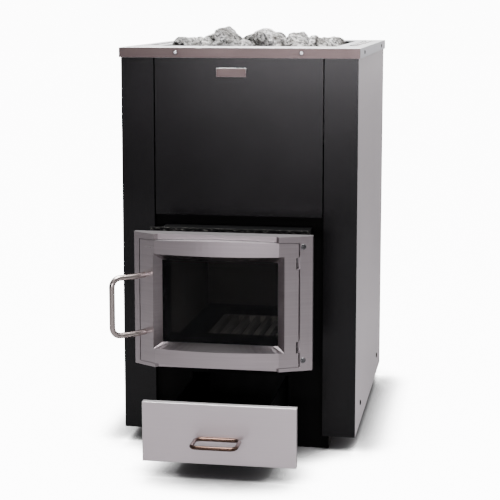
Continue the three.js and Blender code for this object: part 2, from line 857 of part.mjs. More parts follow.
// Door frame
const openLeft = frameLeft + frameStileLeft;
const openRight = frameRight - frameStileRight;
const openLow = frameBottom + frameSill;
const openHigh = frameTop - frameHead;
const crownAhead = kinkAhead + frameBow;
const seatAhead = frameBack + frameBackPlate;
const hingeX = leafRight - hingeInset;
const leafLow = openLow + leafGapHeight;
const leafHigh = openHigh - leafGapHeight;
const flankCosine = 1 / Math.hypot(1, slopeRight);
const hingeAhead = bowAhead(hingeX) - leafSheet - (knuckleRadius + fit) / flankCosine;
const hingeY = ahead(hingeAhead);
const upperPin = [leafHigh - pinReach, frameTop - pinCoverTop];
const lowerPin = [frameBottom + pinCoverBottom + fit, leafLow + pinReach];
const pinHole = pinRadius + pinClearance;
const pinHoles = [
  bar([hingeX, hingeY, upperPin[0]], [hingeX, hingeY, upperPin[1] + fit], pinHole),
  bar([hingeX, hingeY, lowerPin[0] - fit], [hingeX, hingeY, lowerPin[1]], pinHole),
];
const catchTip = leafLeft - catchPlay;
const catchPlace = [ahead(seatAhead + catchDepth), frameBottom + frameHeight / 2];
const catchHole = bar(
  [catchTip - catchLength - fit, ...catchPlace],
  [openLeft + 1, ...catchPlace],
  catchRadius + pinClearance,
);
const frameScrewX = openRight + frameScrewInset;
const flankOut = new THREE.Vector3(slopeRight, -1, 0).normalize();
const frameScrewSeats = [1, -1].map((way) => new THREE.Vector3(
  frameScrewX,
  ahead(bowAhead(frameScrewX)),
  frameBottom + frameHeight / 2 + way * frameScrewSpread,
));
const framePlan = polygon([
  [frameLeft, ahead(frameBack)],
  [frameRight, ahead(frameBack)],
  [frameRight, ahead(frameBack + frameEdge)],
  [kinkRight, ahead(kinkAhead)],
  [kinkRight - flankReturn, ahead(kinkAhead - frameSetback)],
  [kinkLeft + flankReturn, ahead(kinkAhead - frameSetback)],
  [kinkLeft, ahead(kinkAhead)],
  [frameLeft, ahead(frameBack + frameEdge)],
]);
const frameBody = prism(framePlan, [frameBottom, frameTop]);
const leafOpening = slab(
  archOutline(openLeft, openRight, openLow, openHigh, leafArch),
  between(seatAhead, crownAhead + 1),
);
const throat = block(
  [openLeft + throatMargin, openRight - throatHinge],
  between(frameBack - 1, seatAhead + 1),
  [openLow + throatMargin, openHigh - throatMargin],
);
const frameScrewHoles = frameScrewSeats.map(
  (seat) => screwHole(seat, flankOut, frameScrewHead, frameScrewLength),
);
add("door_frame", cut(
  frameBody,
  leafOpening,
  throat,
  catchHole,
  ...pinHoles,
  ...frameScrewHoles,
), stainless);

add("hinge_pin_upper", bar(
  [hingeX, hingeY, upperPin[0]],
  [hingeX, hingeY, upperPin[1]],
  pinRadius,
), zincSteel);
add("hinge_pin_lower", bar(
  [hingeX, hingeY, lowerPin[0]],
  [hingeX, hingeY, lowerPin[1]],
  pinRadius,
), zincSteel);
addScrew("frame_screw_upper", frameScrewSeats[0], flankOut, frameScrewHead, frameScrewLength);
addScrew("frame_screw_lower", frameScrewSeats[1], flankOut, frameScrewHead, frameScrewLength);
add("catch_plunger", bar(
  [catchTip - catchLength, ...catchPlace],
  [catchTip, ...catchPlace],
  catchRadius,
), zincSteel);

// Door leaf: a bowed tray with a bevelled window. The glass is stacked up from the tray's back.
const leafBack = seatAhead + fit + leafGasket + fit;
const railFront = leafBack + fit + glassRail;
const gasketFront = railFront + fit + glassGasket;
const glassFront = gasketFront + fit + glassThick;
const windowPlane = glassFront + fit;
const clearX = [leafLeft + windowLeft, leafRight - windowRight];
const clearZ = [leafLow + windowBelow, leafHigh - windowAbove];

// The space in front of the window, widening forwards to a level edge on the bowed face,
// grown all round by a wall and drawn on beyond the face.
function windowFunnel(wall, start) {
  const section = (share) => {
    const nearX = clearX[0] - wall + share * (clearX[1] - clearX[0] + 2 * wall);
    const farX = nearX + (2 * share - 1) * bevelSide;
    const farAhead = bowAhead(farX);
    const along = (reach) => [-1, 1].map((way) => new THREE.Vector3(
      nearX + reach * (farX - nearX),
      ahead(windowPlane + reach * (farAhead - windowPlane)),
      way > 0 ? clearZ[1] + wall + reach * bevelTop : clearZ[0] - wall - reach * bevelBottom,
    ));
    const startReach = (start - windowPlane) / (farAhead - windowPlane);
    return [...along(startReach), ...along(funnelReach)];
  };
  const slices = Array.from({ length: arcSteps }, (_, i) => solid(new ConvexGeometry([
    ...section(i / arcSteps),
    ...section((i + 1) / arcSteps),
  ])));
  return join(...slices);
}

function leafTray(inset, back) {
  const plan = bowPlan(leafLeft + inset, leafRight - inset, back, inset);
  const outline = archOutline(
    leafLeft + inset,
    leafRight - inset,
    leafLow + inset,
    leafHigh - inset,
    leafArch,
  );
  const tall = prism(plan, [leafLow - 1, frameTop]);
  return tall.intersect(slab(outline, between(back - 1, crownAhead + 1)));
}

const leafOuter = leafTray(0, leafBack);
const leafInner = leafTray(leafSheet, leafBack - 1);
const windowWall = windowFunnel(leafSheet, windowPlane).intersect(leafOuter);
const notches = [
  [leafLow + notchInset, leafLow + notchInset + notchHeight],
  [leafHigh - notchInset - notchHeight, leafHigh - notchInset],
].map((range) => block(
  [leafRight - notchWidth, leafRight + 1],
  between(leafBack - 1, crownAhead + 1),
  range,
));
add("door_leaf", cut(
  join(cut(leafOuter, leafInner), windowWall),
  windowFunnel(0, windowPlane - 1),
  ...pinHoles,
  ...notches,
), stainless);

const glassX = [clearX[0] - glassLap, clearX[1] + glassLap];
const glassZ = [clearZ[0] - glassLap, clearZ[1] + glassLap];
add("door_glass", block(glassX, between(glassFront - glassThick, glassFront), glassZ), ceramicGlass);

const gasketRing = block(glassX, between(gasketFront - glassGasket, gasketFront), glassZ);
const gasketHole = block(
  [glassX[0] + glassGasketWidth, glassX[1] - glassGasketWidth],
  between(gasketFront - glassGasket - 1, gasketFront + 1),
  [glassZ[0] + glassGasketWidth, glassZ[1] - glassGasketWidth],
);
add("glass_gasket", cut(gasketRing, gasketHole), fibre);

const railX = [leafLeft + leafSheet + fit, leafRight - leafSheet - fit];
const railPlace = between(railFront - glassRail, railFront);
add("glass_rail_upper", block(railX, railPlace, [clearZ[1], clearZ[1] + glassRailHeight]), zincSteel);
add("glass_rail_lower", block(railX, railPlace, [clearZ[0] - glassRailHeight, clearZ[0]]), zincSteel);

// The gasket ends left of the hinge axis, so that it only moves forwards as the door opens.
const sealX = [leafLeft + leafGasketInset, hingeX - leafGasketInset];
const sealZ = [leafLow + leafGasketInset, leafHigh - leafGasketInset];
const sealBack = seatAhead + fit;
const sealRing = block(sealX, between(sealBack, sealBack + leafGasket), sealZ);
const sealHole = block(
  [sealX[0] + leafGasketWidth, sealX[1] - leafGasketWidth],
  between(sealBack - 1, sealBack + leafGasket + 1),
  [sealZ[0] + leafGasketWidth, sealZ[1] - leafGasketWidth],
);
add("leaf_gasket", cut(sealRing, sealHole), fibre);

// Hinge knuckles inside the leaf
const knuckleRanges = {
  upper: [
    leafHigh - leafSheet - knuckleGap - knuckleLength,
    leafHigh - leafSheet - knuckleGap,
  ],
  lower: [
    leafLow + leafSheet + knuckleGap,
    leafLow + leafSheet + knuckleGap + knuckleLength,
  ],
};
for (const [name, [low, high]] of Object.entries(knuckleRanges)) {
  const tube = bar([hingeX, hingeY, low], [hingeX, hingeY, high], knuckleRadius);
  const bore = bar([hingeX, hingeY, low - 1], [hingeX, hingeY, high + 1], pinHole);
  add(`hinge_knuckle_${name}`, cut(tube, bore), boilerSteel);
}

// Door handle: a bent rod that stands square on the leaf's left flank and turns to the side.
const footOut = new THREE.Vector3(-slopeLeft, -1, 0).normalize();
const foot = new THREE.Vector3(footX, ahead(bowAhead(footX)), leafLow + handleRise);
const gripMiddle = foot.clone().add(new THREE.Vector3(-handleSide, -handleAhead, 0));
const rodCorners = [1, -1].map((way) => {
  const shift = new THREE.Vector3(0, 0, (way * handleSpan) / 2);
  const start = foot.clone().addScaledVector(footOut, fit).add(shift);
  const stand = foot.clone().addScaledVector(footOut, handleStand).add(shift);
  return [start, stand, gripMiddle.clone().add(shift)].map((point) => point.toArray());
});
add("door_handle", bentRod(
  [...rodCorners[0], ...rodCorners[1].reverse()],
  handleBend,
  handleRod,
  56,
), rodSteel);

// Ash drawer: a folded front, a narrower open box and a rod loop.
const drawerHalf = recessWidth / 2 - drawerInset;
const drawerRange = [drawerBottom, drawerBottom + drawerHeight];
const drawerOuter = block(
  across(drawerHalf),
  between(drawerPull, drawerPull - drawerReturn),
  drawerRange,
);
const drawerHollow = block(
  across(drawerHalf - drawerSheet),
  between(drawerPull - drawerSheet, drawerPull - drawerReturn - 1),
  [drawerRange[0] + drawerSheet, drawerRange[1] - drawerSheet],
);
add("drawer_front", cut(drawerOuter, drawerHollow), stainless);

const boxFront = drawerPull - drawerReturn - fit;
const boxRear = boxFront - boxDepth;
const boxOuter = block(
  across(boxHalf),
  between(boxFront, boxRear),
  [drawerBottom, drawerBottom + boxHeight],
);
const boxHollow = block(
  across(boxHalf - drawerSheet),
  between(boxFront - drawerSheet, boxRear + drawerSheet),
  [drawerBottom + drawerSheet, drawerBottom + boxHeight + 1],
);
add("drawer_box", cut(boxOuter, boxHollow), boilerSteel);

// The loop is two bent halves that meet in the middle of the drawer's front.
const loopNear = ahead(drawerPull + fit + loopRod);
const loopFar = ahead(drawerPull + fit + loopDepth - loopRod);
const loopRise = drawerRange[1] - loopDrop;
const loopHalves = sides.map(({ way }) => bentRod([
  [-way, loopNear, loopRise],
  [way * (loopWidth / 2 - loopRod), loopNear, loopRise],
  [way * (loopWidth / 2 - loopRod), loopFar, loopRise],
  [-way, loopFar, loopRise],
], loopBend, loopRod, 30));
add("drawer_handle", join(...loopHalves), rodSteel);

export default heater;
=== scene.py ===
import math
import bpy
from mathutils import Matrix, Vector


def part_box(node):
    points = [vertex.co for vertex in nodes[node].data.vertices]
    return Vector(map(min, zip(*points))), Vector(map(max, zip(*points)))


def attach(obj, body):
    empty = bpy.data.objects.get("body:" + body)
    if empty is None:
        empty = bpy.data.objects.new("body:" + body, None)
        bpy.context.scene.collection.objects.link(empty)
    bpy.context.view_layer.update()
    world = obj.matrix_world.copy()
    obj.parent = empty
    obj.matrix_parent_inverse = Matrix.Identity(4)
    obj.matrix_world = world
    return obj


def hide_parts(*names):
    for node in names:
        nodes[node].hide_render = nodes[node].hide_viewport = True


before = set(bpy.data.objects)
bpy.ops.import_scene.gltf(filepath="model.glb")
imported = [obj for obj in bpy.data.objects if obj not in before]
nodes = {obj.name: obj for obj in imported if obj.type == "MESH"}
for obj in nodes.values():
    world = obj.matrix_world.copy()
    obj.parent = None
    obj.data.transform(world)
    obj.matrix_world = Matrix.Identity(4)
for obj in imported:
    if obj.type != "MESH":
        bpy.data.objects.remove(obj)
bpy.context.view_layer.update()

bpy.ops.object.select_all(action="DESELECT")

# Firebox, with its base frame, ash floor, smoke channel, flue spigot and stone container.
# They are cut from boiler plate and welded into one body, which stands on the floor
# and is sprayed a matt, heat-proof black: finely grained, and dusty in slow patches.
def add_sockets(group, side, kinds):
    for socket, kind in kinds.items():
        group.interface.new_socket(socket, in_out=side, socket_type="NodeSocket" + kind)


def add_node(tree, kind, values=None, **settings):
    node = tree.nodes.new("ShaderNode" + kind)
    for setting, value in settings.items():
        setattr(node, setting, value)
    for socket, value in (values or {}).items():
        node.inputs[socket].default_value = value
    return node


def new_finish(name):
    material = bpy.data.materials.new(name)
    material.use_nodes = True
    tree = material.node_tree
    return material, tree, tree.nodes["Principled BSDF"], tree.links.new


def dress(material, *starts):
    for name, node in nodes.items():
        if name.startswith(starts):
            for slot in node.material_slots:
                slot.material = material


coating = bpy.data.node_groups.new("Heat-proof coat", "ShaderNodeTree")
add_sockets(coating, "INPUT", {"Paint": "Color", "Dust": "Color"})
add_sockets(coating, "INPUT", {"Grain": "Float", "Relief": "Float", "Smooth": "Float", "Rough": "Float"})
add_sockets(coating, "OUTPUT", {"Colour": "Color", "Roughness": "Float", "Normal": "Vector"})
given = coating.nodes.new("NodeGroupInput")
result = coating.nodes.new("NodeGroupOutput")
place = add_node(coating, "TexCoord")
speck = add_node(coating, "TexNoise", {"Detail": 5.0})
patch = add_node(coating, "TexNoise", {"Scale": 9.0, "Detail": 4.0})
dusty = add_node(coating, "MapRange", {"From Min": 0.42, "From Max": 0.75, "To Max": 0.6})
tone = add_node(coating, "Mix", data_type="RGBA")
gloss = add_node(coating, "MapRange", {"From Min": 0.3, "From Max": 0.7})
grain = add_node(coating, "Bump", {"Distance": 0.0006})
link = coating.links.new
link(place.outputs["Object"], speck.inputs["Vector"])
link(place.outputs["Object"], patch.inputs["Vector"])
link(given.outputs["Grain"], speck.inputs["Scale"])
link(patch.outputs["Fac"], dusty.inputs["Value"])
link(dusty.outputs["Result"], tone.inputs["Factor"])
link(given.outputs["Paint"], tone.inputs["A"])
link(given.outputs["Dust"], tone.inputs["B"])
link(patch.outputs["Fac"], gloss.inputs["Value"])
link(given.outputs["Smooth"], gloss.inputs["To Min"])
link(given.outputs["Rough"], gloss.inputs["To Max"])
link(speck.outputs["Fac"], grain.inputs["Height"])
link(given.outputs["Relief"], grain.inputs["Strength"])
link(tone.outputs["Result"], result.inputs["Colour"])
link(gloss.outputs["Result"], result.inputs["Roughness"])
link(grain.outputs["Normal"], result.inputs["Normal"])


def black_finish(name, shine, paint, dust_and_top_highlight, **coat):
    material, tree, shader, link = new_finish(name)
    shader.inputs["Specular IOR Level"].default_value = shine
    effect = add_node(tree, "Group", {"Paint": (*paint, 1), "Dust": (*dust_and_top_highlight, 1)}, node_tree=coating)
    for socket, value in coat.items():
        effect.inputs[socket.title()].default_value = value
    link(effect.outputs["Colour"], shader.inputs["Base Color"])
    link(effect.outputs["Roughness"], shader.inputs["Roughness"])
    link(effect.outputs["Normal"], shader.inputs["Normal"])
    return material


firebox_steel = black_finish(
    "Firebox steel", shine=0.05, paint=(0.002, 0.002, 0.0022), dust_and_top_highlight=(0.005, 0.0048, 0.0046),
    grain=500, relief=0.3, smooth=0.55, rough=0.75,
)
dress(firebox_steel, "base_frame", "ash_floor", "firebox_", "baffle_plate")
dress(firebox_steel, "smoke_channel", "flue_spigot", "stone_container")

# Firebox walls: one wrap of plate, bent round the sides and the back of the fire and welded in.
# The fire has burnt the paint off it, which leaves plate that is grey with soot and ash.
sooty_steel = black_finish(
    "Sooty steel", shine=0.1, paint=(0.032, 0.028, 0.026), dust_and_top_highlight=(0.06, 0.053, 0.05),
    grain=300, relief=0.4, smooth=0.6, rough=0.8,
)
dress(sooty_steel, "inner_wrap")

# Grate: the bars that the fire lies on, cast in iron as one piece.
# It lies loose on the firebox floor above the ash drawer, with a skin rough from the mould
# and grey with ash.
cast_iron = black_finish(
    "Cast iron", shine=0.3, paint=(0.06, 0.055, 0.05), dust_and_top_highlight=(0.14, 0.125, 0.11),
    grain=260, relief=0.7, smooth=0.6, rough=0.8,
)
dress(cast_iron, "grate")

# Rope round the neck, and the gaskets of the leaf and of the glass.
# They are plaited from glass fibre and pressed into place. Soot has blackened the strands,
# and a sparse, paler fuzz stands up from them.
fibre, tree, shader, link = new_finish("Glass fibre")
shader.inputs["Roughness"].default_value = 0.95
shader.inputs["Specular IOR Level"].default_value = 0.1
place = add_node(tree, "TexCoord")
turn = add_node(tree, "Mapping", {"Rotation": (0.3, 0.2, 0.5), "Scale": (160, 420, 420)})
strand = add_node(tree, "TexNoise", {"Scale": 1.0, "Detail": 4.0, "Distortion": 1.2})
fuzz = add_node(tree, "ValToRGB")
sooty, pale = fuzz.color_ramp.elements
sooty.position = 0.57
sooty.color = (0.001, 0.001, 0.001, 1)
pale.position = 0.7
pale.color = (0.13, 0.126, 0.118, 1)
weave = add_node(tree, "Bump", {"Strength": 0.9, "Distance": 0.003})
link(place.outputs["Object"], turn.inputs["Vector"])
link(turn.outputs["Vector"], strand.inputs["Vector"])
link(strand.outputs["Fac"], fuzz.inputs["Fac"])
link(strand.outputs["Fac"], weave.inputs["Height"])
link(fuzz.outputs["Color"], shader.inputs["Base Color"])
link(weave.outputs["Normal"], shader.inputs["Normal"])
dress(fibre, "neck_rope", "glass_gasket", "leaf_gasket")

# Side panels and rear panel of the casing, folded from brushed stainless sheet and screwed to rails.
# The brushing leaves fine streaks over slow clouds of tone. The edges of some sheets are painted bright,
# a painted highlight that is partly rubbed wear; level faces are painted pale, a painted highlight of the
# light from above; and faces that don't look forward can be painted darker or lighter: painted light and
# shade.
brushed = bpy.data.node_groups.new("Brushed metal", "ShaderNodeTree")
add_sockets(brushed, "INPUT", {"Light": "Color", "Dark": "Color", "Streaks": "Vector"})
add_sockets(brushed, "INPUT", {"Smooth": "Float", "Rough": "Float", "Edge": "Float", "Bare": "Float"})
add_sockets(brushed, "INPUT", {"Facing light": "Vector", "Top highlight": "Float"})
add_sockets(brushed, "OUTPUT", {"Colour": "Color", "Metallic": "Float"})
add_sockets(brushed, "OUTPUT", {"Roughness": "Float", "Normal": "Vector"})
given = brushed.nodes.new("NodeGroupInput")
result = brushed.nodes.new("NodeGroupOutput")
place = add_node(brushed, "TexCoord")
stretch = add_node(brushed, "VectorMath", operation="MULTIPLY")
streak = add_node(brushed, "TexNoise", {"Scale": 1.0, "Detail": 4.0})
cloud = add_node(brushed, "TexNoise", {"Scale": 7.0, "Detail": 3.0})
streak_share = 0.45
blend = add_node(brushed, "Math", {1: streak_share}, operation="MULTIPLY_ADD")
spread = add_node(brushed, "Math", {1: 1 - streak_share}, operation="MULTIPLY")
tone = add_node(brushed, "Mix", data_type="RGBA")
gloss = add_node(brushed, "MapRange", {"From Min": 0.3, "From Max": 0.7})
round_edge = add_node(brushed, "Bevel", samples=6)
flat = add_node(brushed, "NewGeometry")
bent = add_node(brushed, "VectorMath", operation="DOT_PRODUCT")
# Edges are painted bright where the rounded normal turns from the flat one: a painted highlight, partly
# rubbed wear.
rubbed_edge_highlight = add_node(brushed, "MapRange", {"From Min": 0.995, "From Max": 0.85})
edge_highlight_mix = add_node(brushed, "Mix", data_type="RGBA")
edge_highlight_mix.inputs["B"].default_value = (0.9, 0.88, 0.88, 1)
# Faces that turn away from the front are scaled by the given tone: painted light and shade by facing.
facing = add_node(brushed, "SeparateXYZ")
painted_facing_mask = add_node(brushed, "MapRange", {"From Min": -0.8, "From Max": -0.55})
painted_facing_tone = add_node(brushed, "Mix", data_type="VECTOR")
painted_facing_tone.inputs["A"].default_value = (1, 1, 1)
altered = add_node(brushed, "VectorMath", operation="MULTIPLY")
# Level faces are painted pale and less metallic: a painted highlight of the light from above.
top_highlight_mask = add_node(brushed, "MapRange", {"From Min": 0.94, "From Max": 0.99})
painted_top_highlight = add_node(brushed, "Mix", data_type="RGBA")
painted_top_highlight.inputs["B"].default_value = (0.82, 0.81, 0.815, 1)
top_highlight_metallic = add_node(brushed, "MapRange", {"To Max": 0.3})
link = brushed.links.new
link(place.outputs["Object"], stretch.inputs[0])
link(given.outputs["Streaks"], stretch.inputs[1])
link(stretch.outputs["Vector"], streak.inputs["Vector"])
link(place.outputs["Object"], cloud.inputs["Vector"])
link(cloud.outputs["Fac"], spread.inputs[0])
link(streak.outputs["Fac"], blend.inputs[0])
link(spread.outputs["Value"], blend.inputs[2])
link(blend.outputs["Value"], tone.inputs["Factor"])
link(given.outputs["Light"], tone.inputs["A"])
link(given.outputs["Dark"], tone.inputs["B"])
link(blend.outputs["Value"], gloss.inputs["Value"])
link(given.outputs["Smooth"], gloss.inputs["To Min"])
link(given.outputs["Rough"], gloss.inputs["To Max"])
link(given.outputs["Edge"], round_edge.inputs["Radius"])
link(round_edge.outputs["Normal"], bent.inputs[0])
link(flat.outputs["Normal"], bent.inputs[1])
link(bent.outputs["Value"], rubbed_edge_highlight.inputs["Value"])
link(rubbed_edge_highlight.outputs["Result"], edge_highlight_mix.inputs["Factor"])
link(tone.outputs["Result"], edge_highlight_mix.inputs["A"])
link(place.outputs["Normal"], facing.inputs["Vector"])
link(facing.outputs["Y"], painted_facing_mask.inputs["Value"])
link(painted_facing_mask.outputs["Result"], painted_facing_tone.inputs["Factor"])
link(given.outputs["Facing light"], painted_facing_tone.inputs["B"])
link(edge_highlight_mix.outputs["Result"], altered.inputs[0])
link(painted_facing_tone.outputs["Result"], altered.inputs[1])
link(facing.outputs["Z"], top_highlight_mask.inputs["Value"])
link(given.outputs["Top highlight"], top_highlight_mask.inputs["To Max"])
link(top_highlight_mask.outputs["Result"], painted_top_highlight.inputs["Factor"])
link(altered.outputs["Vector"], painted_top_highlight.inputs["A"])
link(top_highlight_mask.outputs["Result"], top_highlight_metallic.inputs["Value"])
link(given.outputs["Bare"], top_highlight_metallic.inputs["To Min"])
link(painted_top_highlight.outputs["Result"], result.inputs["Colour"])
link(top_highlight_metallic.outputs["Result"], result.inputs["Metallic"])
link(gloss.outputs["Result"], result.inputs["Roughness"])
link(round_edge.outputs["Normal"], result.inputs["Normal"])


def brushed_metal(name, light, dark, streaks, smooth, rough, edge=0, bare=1, painted_light_elsewhere=(1, 1, 1), dust_and_top_highlight=0):
    material, tree, shader, link = new_finish(name)
    effect = add_node(tree, "Group", {"Light": (*light, 1), "Dark": (*dark, 1)}, node_tree=brushed)
    effect.inputs["Streaks"].default_value = streaks
    effect.inputs["Smooth"].default_value = smooth
    effect.inputs["Rough"].default_value = rough
    effect.inputs["Edge"].default_value = edge
    effect.inputs["Bare"].default_value = bare
    effect.inputs["Facing light"].default_value = painted_light_elsewhere
    effect.inputs["Top highlight"].default_value = dust_and_top_highlight
    link(effect.outputs["Colour"], shader.inputs["Base Color"])
    link(effect.outputs["Roughness"], shader.inputs["Roughness"])
    shader.inputs["Metallic"].default_value = bare
    if dust_and_top_highlight:
        link(effect.outputs["Metallic"], shader.inputs["Metallic"])
    if edge:
        link(effect.outputs["Normal"], shader.inputs["Normal"])
    return material


# Its level faces are painted pale and less metallic: a painted highlight.
side_sheet = brushed_metal(
    "Side sheet", light=(0.84, 0.773, 0.806), dark=(0.745, 0.683, 0.711), streaks=(3, 3, 500),
    smooth=0.34, rough=0.44, bare=0.85, dust_and_top_highlight=0.38,
)
dress(side_sheet, "side_panel", "rear_panel")

# Rails that carry the casing, rails that hold the glass, hinge pins and knuckles, and the catch.
# They are small pieces of zinc-plated steel, folded or turned, and fixed where they can hardly be seen.
zinc_steel = brushed_metal(
    "Zinc steel", light=(0.6, 0.6, 0.62), dark=(0.35, 0.35, 0.36), streaks=(250, 250, 250),
    smooth=0.2, rough=0.35,
)
dress(zinc_steel, "casing_rail", "glass_rail", "hinge_", "catch_plunger")

# Front of the casing: two corner strips and the upper panel between them.
# They are folded from thin steel sheet, hooked onto the casing and painted a smooth, satin black.
casing_paint = black_finish(
    "Casing paint", shine=0.26, paint=(0.002, 0.0018, 0.0023), dust_and_top_highlight=(0.004, 0.0037, 0.0045),
    grain=900, relief=0.03, smooth=0.22, rough=0.26,
)
dress(casing_paint, "front_")

# Top collar, a frame of stainless sheet that is slipped over the casing and screwed to it,
# and the small plate on the upper panel. Both are painted warm and dark on the faces that look forward and
# pale on the others: painted shade in front and painted light elsewhere. Their edges and level faces are
# painted bright: painted highlights, the edges partly rubbed wear.
# Air slots are punched in the collar's rim. Where the sheet is closed in, inside the slots and beside the
# stones, its colour is painted darker: painted shade.
collar_sheet = brushed_metal(
    "Collar sheet", light=(0.13, 0.1, 0.097), dark=(0.1, 0.077, 0.075), streaks=(90, 4, 500),
    smooth=0.3, rough=0.4, edge=0.0007, painted_light_elsewhere=(7.3, 9.2, 10.1), dust_and_top_highlight=0.85,
)
tree = collar_sheet.node_tree
# Painted shade: the colour is darkened by occlusion.
closed = add_node(tree, "AmbientOcclusion", {"Distance": 0.03}, samples=6)
painted_slot_shade = add_node(tree, "MapRange", {"From Min": 0.7, "From Max": 0.97, "To Min": 0.02})
slot_shaded_colour = add_node(tree, "VectorMath", operation="SCALE")
link = tree.links.new
link(closed.outputs["AO"], painted_slot_shade.inputs["Value"])
link(tree.nodes["Group"].outputs["Colour"], slot_shaded_colour.inputs[0])
link(painted_slot_shade.outputs["Result"], slot_shaded_colour.inputs["Scale"])
link(slot_shaded_colour.outputs["Vector"], tree.nodes["Principled BSDF"].inputs["Base Color"])
dress(collar_sheet, "top_collar", "badge_plate")

# Door frame and door leaf, both bowed forwards and pressed from brushed stainless sheet.
# The frame is screwed to the neck of the firebox, and the leaf hangs on two pins at its right edge.
# Faces that turn away from the front are painted darker, painted shade, and level faces pale, a painted
# highlight.
door_sheet = brushed_metal(
    "Door sheet", light=(0.56, 0.5, 0.524), dark=(0.31, 0.276, 0.289), streaks=(10, 10, 380),
    smooth=0.27, rough=0.31, painted_light_elsewhere=(0.55, 0.55, 0.55), dust_and_top_highlight=0.25,
)
dress(door_sheet, "door_frame", "door_leaf")

# Door glass: a pane of ceramic glass, held behind the leaf's window by two rails.
# It is dark and glossy, just clear enough to show the grate, and dulled by clouds of soot.
glass, tree, shader, link = new_finish("Ceramic glass")
shader.inputs["Base Color"].default_value = (0.004, 0.004, 0.0045, 1)
shader.inputs["Specular IOR Level"].default_value = 0.08
place = add_node(tree, "TexCoord")
soot = add_node(tree, "TexNoise", {"Scale": 12.0, "Detail": 5.0})
haze = add_node(tree, "MapRange", {"To Min": 0.02, "To Max": 0.08})
clear = add_node(tree, "MapRange", {"To Min": 0.45, "To Max": 0.6})
link(place.outputs["Object"], soot.inputs["Vector"])
link(soot.outputs["Fac"], haze.inputs["Value"])
link(soot.outputs["Fac"], clear.inputs["Value"])
link(haze.outputs["Result"], shader.inputs["Roughness"])
link(clear.outputs["Result"], shader.inputs["Alpha"])
dress(glass, "door_glass")

# Door handle: a stainless rod, bent at four corners, with both ends welded to the leaf's left flank.
# A wire is drawn out from the flank along the rod's middle line, rounded at its corners
# and thickened to the rod.
def bend_and_thicken(wire, bend, bend_steps, radius, roundness):
    bpy.ops.mesh.select_all(action="SELECT")
    bpy.ops.mesh.bevel(offset=bend, segments=bend_steps, affect="VERTICES")
    bpy.ops.object.mode_set(mode="OBJECT")
    bpy.ops.object.convert(target="CURVE")
    wire.data.bevel_depth = radius
    wire.data.bevel_resolution = roundness
    wire.data.use_fill_caps = True
    bpy.ops.object.convert(target="MESH")
    bpy.ops.object.shade_smooth_by_angle(angle=math.radians(50))


rod_radius = 0.005
rod_bend = 0.015
flank_across = -0.135
flank_out = -0.34431
flank_to_stand = Vector((-0.0114, -0.0187, 0))
flank_to_grip = Vector((-0.045, -0.0457, 0))
rod_steel = brushed_metal(
    "Rod steel", light=(0.5, 0.44, 0.42), dark=(0.42, 0.365, 0.345), streaks=(90, 90, 20),
    smooth=0.18, rough=0.26,
)
rod_low, rod_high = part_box("door_handle")
foot = Vector((flank_across, flank_out, (rod_low.z + rod_high.z) / 2))
stand = foot + flank_to_stand
grip = foot + flank_to_grip
rise = Vector((0, 0, (rod_high.z - rod_low.z) / 2 - rod_radius))
corners = [foot + rise, stand + rise, grip + rise, grip - rise, stand - rise, foot - rise]
bpy.ops.mesh.primitive_plane_add(size=rod_radius, location=(0, 0, 0))
handle = bpy.context.object
handle.name = "handle_rod"
bpy.ops.object.mode_set(mode="EDIT")
bpy.ops.mesh.select_all(action="SELECT")
bpy.ops.mesh.merge(type="CENTER")
bpy.ops.transform.translate(value=corners[0])
for before, after in zip(corners, corners[1:]):
    bpy.ops.mesh.extrude_region_move(TRANSFORM_OT_translate={"value": after - before})
bend_and_thicken(handle, rod_bend, 7, rod_radius, 6)
handle.data.materials.clear()
handle.data.materials.append(rod_steel)
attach(handle, "door")
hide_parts("door_handle")
bpy.ops.object.select_all(action="DESELECT")

# Ash drawer: a box of black steel sheet that slides under the firebox, with a stainless front.
# The front's edges are folded back, so they are rounded, and they are painted bright: a painted highlight,
# partly rubbed wear. Faces that turn away from the front are painted a little darker, painted shade, and
# level faces pale, a painted highlight.
drawer_sheet = brushed_metal(
    "Drawer sheet", light=(0.72, 0.65, 0.68), dark=(0.62, 0.557, 0.583), streaks=(3, 3, 500),
    smooth=0.32, rough=0.42, edge=0.0022, bare=0.9, painted_light_elsewhere=(0.8, 0.8, 0.8), dust_and_top_highlight=0.45,
)
dress(drawer_sheet, "drawer_front")
dress(firebox_steel, "drawer_box")

# Drawer loop: a thin rod of browned steel, bent to a closed loop and welded to the drawer's front.
# It lies level. A rectangle of wire is rounded at its corners and thickened to the rod.
loop_radius = 0.0036
loop_bend = 0.011
loop_rod = brushed_metal(
    "Loop rod", light=(0.13, 0.08, 0.062), dark=(0.05, 0.031, 0.024), streaks=(20, 90, 90),
    smooth=0.16, rough=0.26,
)
loop_low, loop_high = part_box("drawer_handle")
loop_span = loop_high - loop_low - Vector((2 * loop_radius, 2 * loop_radius, 0))
bpy.ops.mesh.primitive_plane_add(size=1, location=(loop_low + loop_high) / 2)
loop = bpy.context.object
loop.name = "drawer_loop"
loop.scale = (loop_span.x, loop_span.y, 1)
bpy.ops.object.transform_apply(location=True, rotation=True, scale=True)
bpy.ops.object.mode_set(mode="EDIT")
bpy.ops.mesh.select_all(action="SELECT")
bpy.ops.mesh.delete(type="ONLY_FACE")
bend_and_thicken(loop, loop_bend, 6, loop_radius, 5)
loop.data.materials.clear()
loop.data.materials.append(loop_rod)
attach(loop, "ash_drawer")
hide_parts("drawer_handle")
bpy.ops.object.select_all(action="DESELECT")

